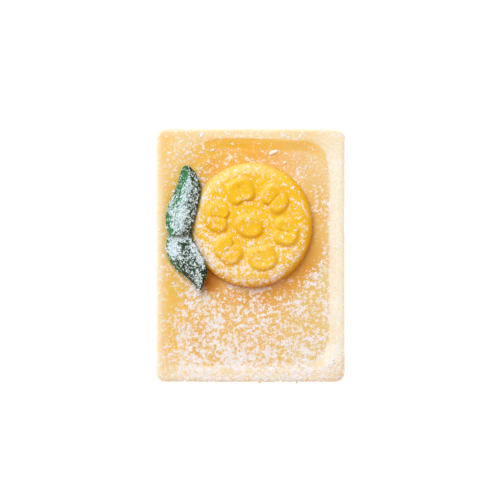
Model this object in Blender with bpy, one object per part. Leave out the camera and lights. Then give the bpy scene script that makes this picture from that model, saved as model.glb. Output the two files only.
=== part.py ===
"""Chocolate bonbon: an ivory tile with a raised rim, a round moulded disc and two leaves.

The scene is in metres with +Z up. Sizes below are in millimetres. The tile stands on Z = 0
with its middle on the Z axis and its long side along Y.
"""

import math

import bmesh
import bpy
import numpy as np

METRES_PER_MM = 0.001
GAP = 0.3

# Tile: outside.
TILE_WIDTH = 26.0
TILE_LENGTH = 35.0
TILE_HEIGHT = 8.0
TILE_CORNER_RADIUS = 1.35
SIDE_DRAFT = math.radians(1.5)
BASE_ROUNDING = 0.35
TOP_ROUNDING = 0.45
EDGE_WAVER = 0.05

# Tile: recess. Each line is left, right, bottom, top, and the corner radii run
# top right, top left, bottom left, bottom right.
RECESS_DEPTH = 0.7
RECESS_TOP_LINE = (-12.1, 12.0, -15.85, 16.05)
RECESS_TOP_RADII = (3.4, 8.5, 3.4, 3.4)
RECESS_FOOT_LINE = (-8.6, 10.9, -15.2, 14.3)
RECESS_FOOT_RADII = (4.2, 8.5, 4.6, 4.2)
WALL_ROUNDING_SHARE = 0.4
SOFT_WALL_FROM_X = -9.0
CRISP_WALL_FROM_X = -1.0
WALL_STEPS = (0.0, 0.08, 0.18, 0.3, 0.42, 0.55, 0.68, 0.8, 0.9, 1.0)

ARC_POINTS = 11
SHORT_SIDE_POINTS = 11
LONG_SIDE_POINTS = 17
ROUNDING_STEPS = 4

# Disc.
DISC_CENTRE = (0.18, 4.17)
DISC_HALF_SIZES = (8.31, 8.53)
DISC_THICKNESS = 2.3
DISC_SHOULDER = 1.7
DISC_BASE_ROUNDING = 0.2
DISC_POINTS = 80
SHOULDER_STEPS = 6

# Ornament on the disc: a flower of even petals round an oval button.
PETAL_COUNT = 6
FIRST_PETAL_BEARING = math.radians(48.0)
PETAL_REACH = 4.75
PETAL_HALF_LENGTH = 1.8
PETAL_HALF_WIDTH = 2.05
PETAL_SQUARENESS = 2.6
PETAL_NOTCH = 0.3
PETAL_NOTCH_SPREAD = 0.42
PETAL_UNEVENNESS = 0.06
PETAL_PHASE_STEP = 1.7
BUTTON_CENTRE = (-0.36, -0.23)
BUTTON_HALF_SIZES = (2.1, 1.6)
BUTTON_TILT = math.radians(-17.0)
RELIEF_POINTS = 30
# The relief's section from its foot inwards: how far in, as a share of the radius, and how high.
RELIEF_SECTION = ((0.0, -0.4), (0.03, 0.18), (0.1, 0.38), (0.2, 0.45), (0.31, 0.41), (0.46, 0.32), (0.7, 0.28))

# Leaves. Along each leaf: share of the length from the tip, the centre line's X, half the width,
# the ridge's place across from -1 at the left edge to 1 at the right, and the heights above the
# tile's base of the left edge, the ridge and the right edge.
LEAF_UPPER_SPAN = (12.15, 3.05)
LEAF_UPPER_KEYS = (
    (0.0, -8.72, 0.4, -0.2, 8.5, 8.7, 8.6),
    (0.04, -8.64, 0.78, -0.2, 8.5, 9.0, 8.7),
    (0.12, -8.5, 1.12, -0.1, 8.6, 9.6, 8.9),
    (0.29, -8.42, 1.64, 0.1, 8.65, 10.6, 9.55),
    (0.54, -9.06, 2.04, 0.4, 8.75, 11.1, 10.15),
    (0.76, -9.55, 2.05, 0.5, 8.85, 11.05, 10.35),
    (0.87, -9.69, 1.86, 0.4, 9.1, 10.8, 10.3),
    (0.95, -9.7, 1.6, 0.3, 9.6, 10.6, 10.25),
    (1.0, -9.68, 1.2, 0.2, 10.1, 10.4, 10.2),
)
LEAF_LOWER_SPAN = (-4.78, 3.35)
LEAF_LOWER_KEYS = (
    (0.0, -6.96, 0.2, 0.0, 8.9, 9.2, 9.1),
    (0.13, -7.1, 0.86, 0.0, 8.7, 9.65, 9.35),
    (0.34, -7.95, 2.1, -0.1, 8.4, 10.15, 9.95),
    (0.5, -8.68, 2.37, -0.1, 8.6, 10.2, 10.1),
    (0.66, -9.3, 2.22, -0.1, 8.85, 10.05, 10.15),
    (0.82, -9.62, 1.85, 0.0, 8.8, 9.6, 9.85),
    (0.94, -9.7, 1.45, 0.0, 8.8, 9.4, 9.55),
    (1.0, -9.7, 1.1, 0.0, 8.85, 9.3, 9.3),
)
RIDGE_ROUNDNESS = 0.25
LEAF_EDGE_THICKNESS = 0.32
LEAF_MIDDLE_THICKNESS = 0.85
LEAF_END_THICKNESS = 0.4
LEAF_EDGE_BULGE = 0.1
LEAF_WAVE_HEIGHT = 0.12
LEAF_WAVES = 2.5
LEAF_LENGTH_STEPS = 24
LEAF_WIDTH_STEPS = 10

FLOOR_HEIGHT = TILE_HEIGHT - RECESS_DEPTH
DISC_BOTTOM = FLOOR_HEIGHT + GAP
DISC_TOP = DISC_BOTTOM + DISC_THICKNESS


def clear_scene():
    """Removes every object that the scene starts with."""
    for obj in list(bpy.data.objects):
        bpy.data.objects.remove(obj)


def principled(name, colour, roughness):
    """A plain material with the given base colour."""
    material = bpy.data.materials.new(name)
    material.use_nodes = True
    shader = material.node_tree.nodes["Principled BSDF"]
    shader.inputs["Base Color"].default_value = (*colour, 1.0)
    shader.inputs["Roughness"].default_value = roughness
    material.diffuse_color = (*colour, 1.0)
    return material


def mesh_object(name, points_mm, faces, place_mm=(0.0, 0.0, 0.0), material=None):
    """A closed mesh object from points in millimetres, its origin at a place, its faces outwards."""
    place = METRES_PER_MM * np.array(place_mm)
    mesh = bpy.data.meshes.new(name)
    mesh.from_pydata((METRES_PER_MM * np.array(points_mm) - place).tolist(), [], faces)
    edit = bmesh.new()
    edit.from_mesh(mesh)
    bmesh.ops.recalc_face_normals(edit, faces=edit.faces)
    edit.to_mesh(mesh)
    edit.free()
    obj = bpy.data.objects.new(name, mesh)
    obj.location = place
    bpy.context.scene.collection.objects.link(obj)
    if material is not None:
        mesh.materials.append(material)
    return obj


def shade_smooth(obj, angle_degrees):
    """Smooth shading with sharp edges where the faces meet at more than the angle."""
    for polygon in obj.data.polygons:
        polygon.use_smooth = True
    obj.data.set_sharp_from_angle(angle=math.radians(angle_degrees))


def smoothstep(value):
    """Eases a value from 0 to 1."""
    value = np.clip(value, 0.0, 1.0)
    return value * value * (3.0 - 2.0 * value)


def loft(rings):
    """Points and faces of a closed body through rings of equal length, capped at both ends."""
    count = len(rings[0])
    points = [tuple(p) for ring in rings for p in ring]
    faces = [tuple(reversed(range(count)))]
    for level in range(len(rings) - 1):
        for i in range(count):
            j = (i + 1) % count
            low = level * count
            faces.append((low + i, low + j, low + count + j, low + count + i))
    last = (len(rings) - 1) * count
    faces.append(tuple(range(last, last + count)))
    return points, faces


def rounded_outline(line, radii):
    """Plan points round a rectangle with four corner radii, alike in number for every outline."""
    left, right, bottom, top = line
    corners = ((right, top, 0), (left, top, 90), (left, bottom, 180), (right, bottom, 270))
    arcs = []
    for (x, y, start), radius in zip(corners, radii):
        centre_x = x - math.copysign(radius, x)
        centre_y = y - math.copysign(radius, y)
        turns = np.radians(np.linspace(start, start + 90, ARC_POINTS))
        arcs.append(np.column_stack((centre_x + radius * np.cos(turns), centre_y + radius * np.sin(turns))))
    side_counts = (SHORT_SIDE_POINTS, LONG_SIDE_POINTS, SHORT_SIDE_POINTS, LONG_SIDE_POINTS)
    pieces = []
    for i, arc in enumerate(arcs):
        start, end = arc[-1], arcs[(i + 1) % 4][0]
        shares = np.linspace(0.0, 1.0, side_counts[i] + 2)[1:-1, None]
        pieces.extend((arc, start + (end - start) * shares))
    return np.vstack(pieces)


def tile_outline(inset):
    """The tile's outside in plan, moved inwards, with the slight waver of a moulded edge."""
    half_x = TILE_WIDTH / 2 - inset
    half_y = TILE_LENGTH / 2 - inset
    outline = rounded_outline((-half_x, half_x, -half_y, half_y), (TILE_CORNER_RADIUS,) * 4)
    along = outline[:, 0] - outline[:, 1]
    waver = 1.0 - EDGE_WAVER / half_x * (0.5 + 0.5 * np.sin(0.55 * along) * np.cos(0.23 * along + 1.0))
    return outline * waver[:, None]


def at_height(outline, height):
    """Plan points lifted to one height, or to a height each."""
    return np.column_stack((outline, np.broadcast_to(height, len(outline))))


def recess_rings():
    """Rings from the rim down the recess wall to its floor, the wall softer towards the left."""
    top = rounded_outline(RECESS_TOP_LINE, RECESS_TOP_RADII)
    foot = rounded_outline(RECESS_FOOT_LINE, RECESS_FOOT_RADII)
    softness = smoothstep((CRISP_WALL_FROM_X - top[:, 0]) / (CRISP_WALL_FROM_X - SOFT_WALL_FROM_X))
    rings = []
    for share in WALL_STEPS:
        if share < WALL_ROUNDING_SHARE:
            drop = share * share / (2 * WALL_ROUNDING_SHARE)
        else:
            drop = share - WALL_ROUNDING_SHARE / 2
        crisp = drop / (1 - WALL_ROUNDING_SHARE / 2)
        soft = smoothstep(share)
        depth = RECESS_DEPTH * (crisp + (soft - crisp) * softness)
        rings.append(at_height(top + (foot - top) * share, TILE_HEIGHT - depth))
    return rings


def build_shell(material):
    """The moulded tile with its rim and shallow recess."""
    rings = []
    for step in range(ROUNDING_STEPS + 1):
        turn = math.radians(90.0 * step / ROUNDING_STEPS)
        inset = BASE_ROUNDING * (1 - math.sin(turn))
        rings.append(at_height(tile_outline(inset), BASE_ROUNDING * (1 - math.cos(turn))))
    side_height = TILE_HEIGHT - BASE_ROUNDING - TOP_ROUNDING
    top_inset = side_height * math.tan(SIDE_DRAFT)
    for step in range(ROUNDING_STEPS + 1):
        turn = math.radians(90.0 * step / ROUNDING_STEPS)
        inset = top_inset + TOP_ROUNDING * (1 - math.cos(turn))
        height = TILE_HEIGHT - TOP_ROUNDING * (1 - math.sin(turn))
        rings.append(at_height(tile_outline(inset), height))
    rings.extend(recess_rings())
    obj = mesh_object("shell", *loft(rings), material=material)
    shade_smooth(obj, 40)
    return obj


def build_disc(material):
    """The round disc with its ornament joined on."""
    turns = np.linspace(0.0, 2 * math.pi, DISC_POINTS, endpoint=False)
    circle = np.column_stack((np.cos(turns), np.sin(turns)))
    section = [(DISC_BASE_ROUNDING, DISC_BOTTOM), (0.0, DISC_BOTTOM + DISC_BASE_ROUNDING)]
    for step in range(SHOULDER_STEPS + 1):
        turn = math.radians(90.0 * step / SHOULDER_STEPS)
        section.append((DISC_SHOULDER * (1 - math.cos(turn)), DISC_TOP - DISC_SHOULDER * (1 - math.sin(turn))))
    rings = []
    for inset, height in section:
        rings.append(at_height(circle * (np.array(DISC_HALF_SIZES) - inset) + DISC_CENTRE, height))
    obj = mesh_object("disc", *loft(rings), (*DISC_CENTRE, DISC_BOTTOM), material)
    join(obj, build_relief(), "relief")
    shade_smooth(obj, 40)
    return obj


def petal_outline(phase):
    """A rounded petal with a notch towards the button, its length along +X, a little uneven."""
    turns = np.linspace(0.0, 2 * math.pi, RELIEF_POINTS, endpoint=False)
    power = PETAL_SQUARENESS
    spread_x = np.abs(np.cos(turns) / PETAL_HALF_LENGTH) ** power
    spread_y = np.abs(np.sin(turns) / PETAL_HALF_WIDTH) ** power
    radius = (spread_x + spread_y) ** (-1 / power)
    from_notch = (turns - math.pi) / PETAL_NOTCH_SPREAD
    radius *= 1 - PETAL_NOTCH * np.exp(-from_notch * from_notch)
    radius *= 1 + PETAL_UNEVENNESS * np.sin(2 * turns + phase)
    return np.column_stack((radius * np.cos(turns), radius * np.sin(turns)))


def turned(outline, angle, centre):
    """Plan points turned by an angle and then moved to a centre."""
    cos, sin = math.cos(angle), math.sin(angle)
    return outline @ np.array(((cos, sin), (-sin, cos))) + centre


def relief_rings(outline, centre):
    """Rings of one raised shape with rounded edges and a slightly hollowed top."""
    rings = []
    for share, height in RELIEF_SECTION:
        rings.append(at_height(centre + (outline - centre) * (1 - share), DISC_TOP + height))
    return rings


def build_relief():
    """The petals and the button as one object of separate closed bodies."""
    middle = np.array(DISC_CENTRE)
    points, faces = [], []
    bodies = []
    for number in range(PETAL_COUNT):
        angle = FIRST_PETAL_BEARING + 2 * math.pi * number / PETAL_COUNT
        centre = middle + PETAL_REACH * np.array((math.cos(angle), math.sin(angle)))
        bodies.append((turned(petal_outline(PETAL_PHASE_STEP * number), angle, centre), centre))
    turns = np.linspace(0.0, 2 * math.pi, RELIEF_POINTS, endpoint=False)
    oval = np.column_stack((np.cos(turns), np.sin(turns))) * BUTTON_HALF_SIZES
    centre = middle + BUTTON_CENTRE
    bodies.append((turned(oval, BUTTON_TILT, centre), centre))
    for outline, centre in bodies:
        body_points, body_faces = loft(relief_rings(outline, centre))
        start = len(points)
        points.extend(body_points)
        faces.extend(tuple(start + i for i in face) for face in body_faces)
    return mesh_object("relief", points, faces)


def join(target, other, label):
    """Unites the other object into the target and removes the other."""
    modifier = target.modifiers.new(label, "BOOLEAN")
    modifier.operation = "UNION"
    modifier.solver = "EXACT"
    modifier.object = other
    graph = bpy.context.evaluated_depsgraph_get()
    joined = bpy.data.meshes.new_from_object(target.evaluated_get(graph))
    target.modifiers.clear()
    target.data = joined
    bpy.data.objects.remove(other)


def curve_through(keys, share):
    """Values at a share of the way along keyed rows, on a smooth curve through the rows."""
    table = np.array(keys)
    places = table[:, 0]
    values = table[:, 1:]
    slopes = np.gradient(values, places, axis=0)
    i = int(np.clip(np.searchsorted(places, share) - 1, 0, len(places) - 2))
    span = places[i + 1] - places[i]
    u = (share - places[i]) / span
    start_weight = 2 * u**3 - 3 * u**2 + 1
    start_slope_weight = (u**3 - 2 * u**2 + u) * span
    end_slope_weight = (u**3 - u**2) * span
    return (
        start_weight * values[i]
        + start_slope_weight * slopes[i]
        + (1 - start_weight) * values[i + 1]
        + end_slope_weight * slopes[i + 1]
    )


def leaf_height(across, share, place, left, ridge, right):
    """Height of a leaf's top at a place across it, from -1 at the left edge to 1 at the right."""
    if across < place:
        reach = (place - across) / (place + 1)
        edge = left
    else:
        reach = (across - place) / (1 - place)
        edge = right
    softness = RIDGE_ROUNDNESS
    fall = (math.hypot(reach, softness) - softness) / (math.hypot(1.0, softness) - softness)
    wave = LEAF_WAVE_HEIGHT * math.sin(2 * math.pi * LEAF_WAVES * share) * across * across
    return ridge + (edge - ridge) * fall + wave


def leaf_thickness(across, share):
    """Thickness of a leaf, full in the middle and thin at its edges and ends."""
    middle = LEAF_MIDDLE_THICKNESS * (1 - across**2)
    ends = smoothstep(min(share, 1 - share) / 0.2)
    full = LEAF_EDGE_THICKNESS + (middle - LEAF_EDGE_THICKNESS * (1 - across**2))
    thin = LEAF_EDGE_THICKNESS + (LEAF_END_THICKNESS - LEAF_EDGE_THICKNESS) * (1 - across**2)
    return thin + (full - thin) * ends


def build_leaf(name, span, keys, material):
    """A thin leaf with a soft ridge, both faces split into triangles alike."""
    columns = np.linspace(-1.0, 1.0, LEAF_WIDTH_STEPS + 1)
    rows = np.linspace(0.0, 1.0, LEAF_LENGTH_STEPS + 1)
    start_y, end_y = span
    upper, lower, rim = [], [], {}
    for r, share in enumerate(rows):
        centre_x, half_width, *section = curve_through(keys, share)
        y = start_y + (end_y - start_y) * share
        for c, across in enumerate(columns):
            on_side = c in (0, LEAF_WIDTH_STEPS)
            reach = half_width - (LEAF_EDGE_BULGE if on_side and half_width > 4 * LEAF_EDGE_BULGE else 0.0)
            x = centre_x + across * reach
            height = leaf_height(across, share, *section)
            thickness = leaf_thickness(across, share)
            upper.append((x, y, height))
            lower.append((x, y, height - thickness))
            if on_side or r in (0, LEAF_LENGTH_STEPS):
                outer_y = y
                if r in (0, LEAF_LENGTH_STEPS):
                    outer_y += math.copysign(LEAF_EDGE_BULGE, (y - 0.5 * (start_y + end_y)))
                rim[(r, c)] = (centre_x + across * half_width, outer_y, height - thickness / 2)
    return leaf_object(name, upper, lower, rim, (centre_x, end_y, FLOOR_HEIGHT), material)


def leaf_object(name, upper, lower, rim, place, material):
    """Closes a leaf's two faces with a rounded edge and makes the object."""
    width = LEAF_WIDTH_STEPS + 1
    count = len(upper)
    faces = []
    for r in range(LEAF_LENGTH_STEPS):
        for c in range(LEAF_WIDTH_STEPS):
            a = r * width + c
            b, d, e = a + 1, a + width, a + width + 1
            for face in ((a, b, e), (a, e, d)):
                faces.append(face)
                faces.append(tuple(count + i for i in reversed(face)))
    loop = [(0, c) for c in range(LEAF_WIDTH_STEPS)]
    loop += [(r, LEAF_WIDTH_STEPS) for r in range(LEAF_LENGTH_STEPS)]
    loop += [(LEAF_LENGTH_STEPS, c) for c in range(LEAF_WIDTH_STEPS, 0, -1)]
    loop += [(r, 0) for r in range(LEAF_LENGTH_STEPS, 0, -1)]
    points = upper + lower
    rim_index = {}
    for key in loop:
        rim_index[key] = len(points)
        points.append(rim[key])
    for here, after in zip(loop, loop[1:] + loop[:1]):
        a = here[0] * width + here[1]
        b = after[0] * width + after[1]
        faces.append((a, rim_index[here], rim_index[after], b))
        faces.append((rim_index[here], count + a, count + b, rim_index[after]))
    obj = mesh_object(name, points, faces, place, material)
    shade_smooth(obj, 50)
    return obj


def main():
    """Builds the four pieces."""
    clear_scene()
    ivory = principled("ivory_chocolate", (0.86, 0.63, 0.27), 0.45)
    yellow = principled("yellow_chocolate", (0.92, 0.58, 0.05), 0.42)
    upper_green = principled("upper_leaf_green", (0.06, 0.16, 0.07), 0.5)
    lower_green = principled("lower_leaf_green", (0.05, 0.14, 0.06), 0.5)
    build_shell(ivory)
    build_disc(yellow)
    build_leaf("leaf_upper", LEAF_UPPER_SPAN, LEAF_UPPER_KEYS, upper_green)
    build_leaf("leaf_lower", LEAF_LOWER_SPAN, LEAF_LOWER_KEYS, lower_green)


main()
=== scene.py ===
"""Dresses a chocolate bonbon: an ivory tile, a yellow disc, two leaves and a dusting of icing sugar.

Sizes in the classes are millimetres in the part's own frame, and meshes are made in metres.
"""

import logging
import math
from dataclasses import dataclass
from enum import Enum

import bmesh
import bpy
import numpy as np
from mathutils import Matrix, Vector, noise


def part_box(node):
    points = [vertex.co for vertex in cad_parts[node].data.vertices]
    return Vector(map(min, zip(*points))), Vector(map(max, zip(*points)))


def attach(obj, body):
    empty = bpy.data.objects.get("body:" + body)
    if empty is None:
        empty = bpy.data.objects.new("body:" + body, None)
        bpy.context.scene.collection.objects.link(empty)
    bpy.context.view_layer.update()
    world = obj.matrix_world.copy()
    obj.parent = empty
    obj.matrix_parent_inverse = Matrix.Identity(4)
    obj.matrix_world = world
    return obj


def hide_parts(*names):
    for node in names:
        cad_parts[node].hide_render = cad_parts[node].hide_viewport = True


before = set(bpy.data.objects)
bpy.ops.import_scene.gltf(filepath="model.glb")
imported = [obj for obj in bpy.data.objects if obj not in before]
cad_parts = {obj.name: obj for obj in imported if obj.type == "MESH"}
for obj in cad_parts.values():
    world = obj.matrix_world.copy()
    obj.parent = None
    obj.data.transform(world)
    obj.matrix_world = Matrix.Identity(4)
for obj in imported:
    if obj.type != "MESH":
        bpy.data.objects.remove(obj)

Array = np.ndarray
Colour = tuple[float, float, float, float]
Pair = tuple[float, float]
Row = tuple[float, ...]
Material = bpy.types.Material
Object = bpy.types.Object
Socket = bpy.types.NodeSocket

MM = 0.001
ROOT = "root"
SKIN_DROP = 0.01
LIGHT_FROM = (-0.53, 0.85)

log = logging.getLogger("bonbon")


class Slot(Enum):
    """Names of material slots, written to the log for each piece."""

    IVORY = "ivory_chocolate"
    YELLOW = "yellow_chocolate"
    GREEN = "leaf_green"
    SUGAR = "icing_sugar"


class GrainKind(Enum):
    """Kinds of sugar grain, by how they lie."""

    DUST = "dust"
    CLUMP = "clump"


# ---- helpers


def smooth(low: float, high: float, value: Array | float) -> Array:
    """Eases numbers from 0 at low to 1 at high."""
    share = np.clip((np.asarray(value, float) - low) / (high - low), 0.0, 1.0)
    return share * share * (3.0 - 2.0 * share)


def cloud(points: Array, size: float, seed: float = 0.0) -> Array:
    """Soft noise from about -1 to 1 at rows of x, y, z, with lumps of a given size."""
    shift = Vector((seed * 13.7, seed * -7.3, seed * 5.1))
    return np.array([noise.noise(Vector(p) / size + shift) for p in points])


def node_box(node: str) -> tuple[Array, Array]:
    """Lowest and highest corner of a CAD node, in millimetres."""
    low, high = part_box(node)
    return np.array(low) / MM, np.array(high) / MM


def plan_box(node: str) -> tuple[Array, Array]:
    """Middle and half size of a CAD node in plan, in millimetres."""
    low, high = node_box(node)
    return (low[:2] + high[:2]) / 2, (high[:2] - low[:2]) / 2


def lift(outline: Array, height: Array | float) -> Array:
    """Plan points lifted to one height, or to a height each."""
    return np.column_stack((outline, np.broadcast_to(height, len(outline))))


def heading(bearing: float) -> Array:
    """Unit vector in plan at an angle in degrees from x."""
    return np.array((math.cos(math.radians(bearing)), math.sin(math.radians(bearing))))


def axes_at(plan: Array, bearing: float) -> tuple[Array, Array]:
    """How far points in plan lie along a bearing, and across it to its left."""
    out = heading(bearing)
    return plan @ out, plan @ np.array((-out[1], out[0]))


def skin(rings: list[Array], low_centre: Array, high_centre: Array) -> tuple[Array, list]:
    """Closed surface through rings of equal length, with a fan at each end.

    Args:
        rings: Rings of points, each counter-clockwise from above.
        low_centre: Middle of the first ring's fan.
        high_centre: Middle of the last ring's fan.

    Returns:
        Points and faces.
    """
    count = len(rings[0])
    points = np.vstack([*rings, low_centre, high_centre])
    here = np.arange(count)
    after = (here + 1) % count
    faces: list = []
    for low in range(0, (len(rings) - 1) * count, count):
        high = low + count
        faces += np.column_stack((low + here, low + after, high + after, high + here)).tolist()
    last = (len(rings) - 1) * count
    low_fan = np.full(count, len(points) - 2)
    faces += np.column_stack((low_fan, after, here)).tolist()
    faces += np.column_stack((low_fan + 1, last + here, last + after)).tolist()
    return points, faces


def placed(name: str, data: bpy.types.ID | None) -> Object:
    """Puts a new object in the scene.

    Args:
        name: The object's name.
        data: What it holds.

    Returns:
        The new object.
    """
    obj = bpy.data.objects.new(name, data)
    bpy.context.scene.collection.objects.link(obj)
    return obj


def mesh_object(name: str, points: Array, faces: list) -> Object:
    """Smooth mesh object at the origin.

    Args:
        name: The object's name.
        points: Rows of x, y, z in millimetres.
        faces: Tuples of point numbers.

    Returns:
        The new object.
    """
    mesh = bpy.data.meshes.new(name)
    mesh.from_pydata((np.asarray(points) * MM).tolist(), [], faces)
    mesh.validate()
    mesh.shade_smooth()
    return placed(name, mesh)


def edited_object(name: str, edit: bmesh.types.BMesh) -> Object:
    """New object that takes over an edit mesh.

    Args:
        name: The object's name.
        edit: The edit mesh, which is freed.

    Returns:
        The new object.
    """
    mesh = bpy.data.meshes.new(name)
    edit.to_mesh(mesh)
    edit.free()
    return placed(name, mesh)


def vertex_rows(obj: Object, kind: str) -> Array:
    """Rows of three numbers for each vertex of a mesh object, such as co or normal."""
    return np.array([getattr(vertex, kind) for vertex in obj.data.vertices])


def points_of(obj: Object) -> Array:
    """Vertices of a mesh object as rows of x, y, z in millimetres."""
    return vertex_rows(obj, "co") / MM


def evaluated(obj: Object) -> bpy.types.Mesh:
    """A new mesh like the object's, with its modifiers applied."""
    graph = bpy.context.evaluated_depsgraph_get()
    return bpy.data.meshes.new_from_object(obj.evaluated_get(graph))


def move_points(obj: Object, points: Array) -> None:
    """Sets a mesh object's vertices, from rows of x, y, z in millimetres."""
    obj.data.vertices.foreach_set("co", (points * MM).astype(np.float32).ravel())
    obj.data.update()


def write_shares(obj: Object, **shares: Array) -> None:
    """Stores numbers from 0 to 1 for each vertex.

    Args:
        obj: A mesh object.
        shares: One number for each vertex, by the attribute's name.
    """
    for name, values in shares.items():
        attribute = obj.data.attributes.new(name, "FLOAT", "POINT")
        attribute.data.foreach_set("value", np.clip(values, 0.0, 1.0).astype(np.float32))


def finish_piece(obj: Object, slot: Slot, material: Material, *nodes: str) -> Object:
    """Dresses a piece and puts it on the body.

    Args:
        obj: The finished mesh object.
        slot: The material slot's name, written to the log.
        material: The piece's material.
        nodes: CAD nodes that the piece stands for.

    Returns:
        The same object.
    """
    obj.data.materials.clear()
    obj.data.materials.append(material)
    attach(obj, ROOT)
    if nodes:
        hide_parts(*nodes)
    log.info("%s: %d faces, slot %s", obj.name, len(obj.data.polygons), slot.value)
    return obj


# ---- node trees

PATCH_SIZE = 0.62
LEAF_PATCH_SIZE = 0.46
PATCH_EDGE = 0.03
BARE_LEVEL = 0.655
BARE_FALL = -0.32


class TreeBuilder:
    """Adds and links nodes in a shader or geometry tree; an object in its methods is a socket or a value."""

    def __init__(self, tree: bpy.types.NodeTree) -> None:
        """Keeps the tree that nodes go into."""
        self.tree = tree

    def add(self, kind: str, inputs: dict | None = None, **settings: object) -> bpy.types.Node:
        """Adds one node.

        Args:
            kind: The node's type name.
            inputs: Values or sockets for its inputs, by name or number.
            settings: Properties of the node.

        Returns:
            The new node.
        """
        node = self.tree.nodes.new(kind)
        for name, value in settings.items():
            setattr(node, name, value)
        for key, value in (inputs or {}).items():
            self.feed(node.inputs[key], value)
        return node

    def feed(self, socket: Socket, value: object) -> None:
        """Links a socket to an input, or sets the input's value.

        Args:
            socket: The input.
            value: A socket or a value.
        """
        if isinstance(value, Socket):
            self.tree.links.new(value, socket)
        else:
            socket.default_value = value

    def math(self, operation: str, first: object, second: object = 0.0, clamp: bool = False) -> Socket:
        """One sum on numbers; clamp holds the result from 0 to 1."""
        node = self.add("ShaderNodeMath", {0: first, 1: second}, operation=operation, use_clamp=clamp)
        return node.outputs[0]

    def ramp(self, value: object, low: float, high: float, start: float = 0.0, end: float = 1.0) -> Socket:
        """Eases a number from start, at and below low, to end, at and above high."""
        inputs = {0: value, 1: low, 2: high, 3: start, 4: end}
        return self.add("ShaderNodeMapRange", inputs, interpolation_type="SMOOTHSTEP").outputs[0]

    def mix(self, share: object, first: object, second: object) -> Socket:
        """Mixes a share of the second colour into the first."""
        node = self.add("ShaderNodeMix", {0: share, 6: first, 7: second}, data_type="RGBA")
        return node.outputs[2]

    def clouds(self, place: Socket, size: object, detail: float = 3.0, rough: float = 0.5) -> Socket:
        """Noise with lumps of a given size.

        Args:
            place: The coordinate, in metres.
            size: Size of one lump, in millimetres.
            detail: Finer layers of noise.
            rough: How strong the finer layers are.

        Returns:
            The noise's number, from 0 to 1.
        """
        scale = self.math("DIVIDE", 1.0 / MM, size) if isinstance(size, Socket) else 1.0 / (size * MM)
        inputs = {"Vector": place, "Scale": scale, "Detail": detail, "Roughness": rough}
        return self.add("ShaderNodeTexNoise", inputs).outputs[0]

    def above_bare(self, place: Socket, powder: object, size: object) -> Socket:
        """How far a place is inside a patch of sugar: 0 at the patch's edge, negative where bare."""
        bare_below = self.math("ADD", self.math("MULTIPLY", powder, BARE_FALL), BARE_LEVEL)
        return self.math("SUBTRACT", self.clouds(place, size, rough=0.95), bare_below)


# ---- finishes


@dataclass(frozen=True)
class Veil:
    """The finest sugar, too small for grains of its own, painted under the grains."""

    patch_size: float = PATCH_SIZE
    thinnest: float = 0.6
    thickest: float = 0.95
    patch_white: Colour = (0.97, 0.94, 0.99, 1.0)
    film_white: Colour = (1.0, 0.93, 0.82, 1.0)
    grain_size: float = 0.16
    film_size: float = 0.35


@dataclass(frozen=True)
class Relief:
    """Fine relief of a surface: the size of its lumps, its strength and its depth."""

    size: float
    strength: float
    depth: float


@dataclass(frozen=True)
class Glow:
    """Light that passes under a surface: its share, how its colours spread, and its reach."""

    share: float
    spread: tuple[float, float, float]
    reach: float


class SurfaceTree(TreeBuilder):
    """A material's tree with a Principled shader, object coordinates and vertex attributes."""

    def __init__(self, name: str) -> None:
        """Makes the material.

        Args:
            name: The material's name.
        """
        self.material = bpy.data.materials.new(name)
        self.material.use_nodes = True
        super().__init__(self.material.node_tree)
        self.shader = self.tree.nodes["Principled BSDF"]
        self.place = self.add("ShaderNodeTexCoord").outputs["Object"]

    def share(self, name: str) -> Socket:
        """A vertex attribute's number."""
        return self.add("ShaderNodeAttribute", attribute_name=name).outputs["Fac"]

    def mottled(self, size: float, low: float, high: float, *colours: Colour, detail: float = 3.0) -> Socket:
        """The first of two colours, which gives way to the second where noise goes from low to high."""
        return self.mix(self.ramp(self.clouds(self.place, size, detail), low, high), *colours)

    def set(self, **values: object) -> None:
        """Sets or links the shader's inputs, with _ for the spaces in their names."""
        for name, value in values.items():
            self.feed(self.shader.inputs[name.replace("_", " ")], value)

    def dusted(self, colour: Socket, veil: Veil) -> Socket:
        """Adds the finest sugar to a colour, as patches and as an even film.

        Args:
            colour: The colour's socket.
            veil: The sugar's look.

        Returns:
            The dusted colour's socket.
        """
        powder = self.share("powder")
        inside = self.above_bare(self.place, powder, veil.patch_size)
        edge, dusty = self.ramp(inside, -PATCH_EDGE, PATCH_EDGE), self.ramp(powder, 0.0, 0.12)
        patch = self.math("MULTIPLY", edge, dusty)
        grain = self.clouds(self.place, veil.grain_size, detail=2.0, rough=0.7)
        fine = self.ramp(grain, 0.32, 0.56, veil.thinnest, veil.thickest)
        uneven = self.ramp(self.clouds(self.place, veil.film_size, rough=0.7), 0.3, 0.7, 0.6, 1.4)
        film = self.math("MULTIPLY", self.share("film"), uneven, clamp=True)
        filmed = self.mix(film, colour, veil.film_white)
        return self.mix(self.math("MULTIPLY", patch, fine, clamp=True), filmed, veil.patch_white)


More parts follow.
